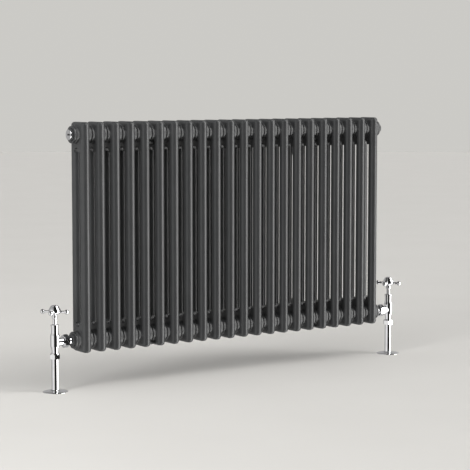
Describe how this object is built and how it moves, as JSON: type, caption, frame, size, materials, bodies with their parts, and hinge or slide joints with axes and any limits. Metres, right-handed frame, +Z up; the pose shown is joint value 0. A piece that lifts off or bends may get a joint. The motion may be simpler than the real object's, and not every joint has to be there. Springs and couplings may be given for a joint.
{
  "type": "column radiator with valves",
  "caption": "Wall-hung two-column tubular steel radiator with crosshead valves, pipe sleeves, floor plates, air vent and wall brackets.",
  "frame": {"origin": "on the wall plane, at the centre of the wall-bracket screw holes", "axes": "+X along the radiator to the right as seen from the room, +Y into the wall (the front faces -Y), +Z up"},
  "size_m": [1.1713, 0.105, 0.698],
  "materials": {
    "powder_coat": "satin anthracite powder coat",
    "powder_coat_fittings": "satin anthracite powder coat",
    "chrome": "polished chrome plate",
    "chrome_tube": "polished chrome plate on tube and pressed sheet",
    "bare_brass": "machined",
    "seal_rubber": "matte"
  },
  "bodies": {
    "radiator": {"section_01": "powder_coat", "section_02": "powder_coat", "section_03": "powder_coat", "section_04": "powder_coat", "section_05": "powder_coat", "section_06": "powder_coat", "section_07": "powder_coat", "section_08": "powder_coat", "section_09": "powder_coat", "section_10": "powder_coat", "section_11": "powder_coat", "section_12": "powder_coat", "section_13": "powder_coat", "section_14": "powder_coat", "section_15": "powder_coat", "section_16": "powder_coat", "section_17": "powder_coat", "section_18": "powder_coat", "section_19": "powder_coat", "section_20": "powder_coat", "section_21": "powder_coat", "section_22": "powder_coat", "bush_lower_left": "powder_coat_fittings", "bush_lower_right": "powder_coat_fittings", "bush_upper_left": "powder_coat_fittings", "bush_upper_right": "powder_coat_fittings", "bush_gaskets": "seal_rubber", "vent_plug": "chrome", "blank_plug": "powder_coat_fittings", "left_body": "chrome", "left_bonnet": "chrome", "left_tail": "chrome", "left_union_nut": "chrome", "left_compression_nut": "chrome", "left_pipe_sleeve": "chrome_tube", "right_body": "chrome", "right_bonnet": "chrome", "right_tail": "chrome", "right_union_nut": "chrome", "right_compression_nut": "chrome", "right_pipe_sleeve": "chrome_tube", "spindle_seals": "seal_rubber", "olives": "bare_brass", "bracket_lower_left": "powder_coat_fittings", "bracket_lower_right": "powder_coat_fittings", "bracket_upper_left": "powder_coat_fittings", "bracket_upper_right": "powder_coat_fittings", "bracket_liners": "seal_rubber"},
    "left_crosshead": {"left_spindle": "bare_brass", "left_handle": "chrome", "left_handle_cap": "chrome"},
    "left_plug": {"left_valve_plug": "bare_brass"},
    "left_plate": {"left_floor_plate": "chrome_tube"},
    "right_crosshead": {"right_spindle": "bare_brass", "right_handle": "chrome", "right_handle_cap": "chrome"},
    "right_plug": {"right_valve_plug": "bare_brass"},
    "right_plate": {"right_floor_plate": "chrome_tube"},
    "vent_key": {"vent_screw": "chrome"}
  },
  "joints": [
    {"name": "left_crosshead_turn", "type": "hinge", "parent": "radiator", "child": "left_crosshead", "pos_m": [-0.5522, -0.07, -0.1755], "axis": [0, 0, 1], "range_deg": [0, 945]},
    {"name": "left_plug_lift", "type": "slide", "parent": "radiator", "child": "left_plug", "axis": [0, 0, 1], "range_m": [0, 0.00394]},
    {"name": "left_plate_slide", "type": "slide", "parent": "radiator", "child": "left_plate", "axis": [0, 0, 1], "range_m": [0, 0.08]},
    {"name": "right_crosshead_turn", "type": "hinge", "parent": "radiator", "child": "right_crosshead", "pos_m": [0.5522, -0.07, -0.1755], "axis": [0, 0, 1], "range_deg": [0, 945]},
    {"name": "right_plug_lift", "type": "slide", "parent": "radiator", "child": "right_plug", "axis": [0, 0, 1], "range_m": [0, 0.00394]},
    {"name": "right_plate_slide", "type": "slide", "parent": "radiator", "child": "right_plate", "axis": [0, 0, 1], "range_m": [0, 0.08]},
    {"name": "vent_screw_turn", "type": "hinge", "parent": "radiator", "child": "vent_key", "pos_m": [-0.508, -0.07, 0.2805], "axis": [-1, 0, 0], "range_deg": [0, 270]}
  ],
  "couplings": [
    {"joint": "left_plug_lift", "follows": "left_crosshead_turn", "m_per_rad": 0.00023873},
    {"joint": "right_plug_lift", "follows": "right_crosshead_turn", "m_per_rad": 0.00023873}
  ]
}
